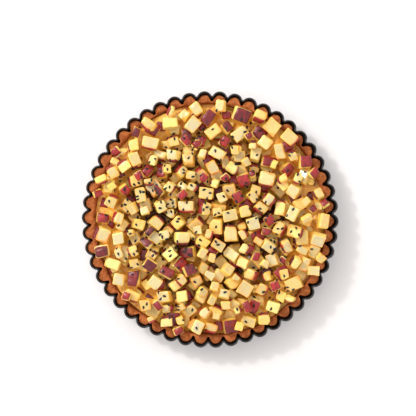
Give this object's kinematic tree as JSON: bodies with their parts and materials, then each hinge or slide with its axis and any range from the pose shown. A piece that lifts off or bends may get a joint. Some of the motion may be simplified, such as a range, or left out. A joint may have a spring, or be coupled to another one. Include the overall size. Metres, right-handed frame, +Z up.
{
  "type": "fluted tart pan",
  "caption": "Round fluted tart pan with a loose push-up base, holding a baked tart: pastry case, custard, heaped potato cubes with red skin and black sesame seeds.",
  "frame": {"origin": "centre of the underside, on the surface that the pan stands on", "axes": "+Z up, +X through the crest of a flute"},
  "size_m": [0.25, 0.2496, 0.0418],
  "materials": {
    "nonstick_ring": "satin black non-stick coating on pressed steel",
    "nonstick_base": "satin black non-stick coating on pressed steel",
    "pastry": "baked shortcrust, matt, grainy",
    "custard": "set custard, glossy",
    "potato_pale": "steamed sweet potato, moist",
    "potato_golden": "golden sweet potato, moist",
    "potato_browned": "sweet potato browned at its corners, moist",
    "potato_soaked": "sweet potato soaked with custard, glossy",
    "skin_red": "glossy red skin",
    "skin_purple": "glossy dark purple skin",
    "sesame_black": "black sesame seed, satin"
  },
  "bodies": {
    "pan_ring": {"fluted_ring": "nonstick_ring"},
    "loose_base": {"base_disc": "nonstick_base"},
    "tart": {"pastry_case": "pastry", "custard": "custard", "potato_cubes_pale": "potato_pale", "potato_cubes_golden": "potato_golden", "potato_cubes_browned": "potato_browned", "potato_cubes_soaked": "potato_soaked", "potato_skins_red": "skin_red", "potato_skins_purple": "skin_purple", "sesame_seeds": "sesame_black"}
  },
  "joints": [
    {"name": "loose_base_lift", "type": "slide", "parent": "pan_ring", "child": "loose_base", "axis": [0, 0, 1], "range_m": [0, 0.06]},
    {"name": "tart_lift", "type": "slide", "parent": "loose_base", "child": "tart", "axis": [0, 0, 1], "range_m": [0, 0.05]}
  ]
}
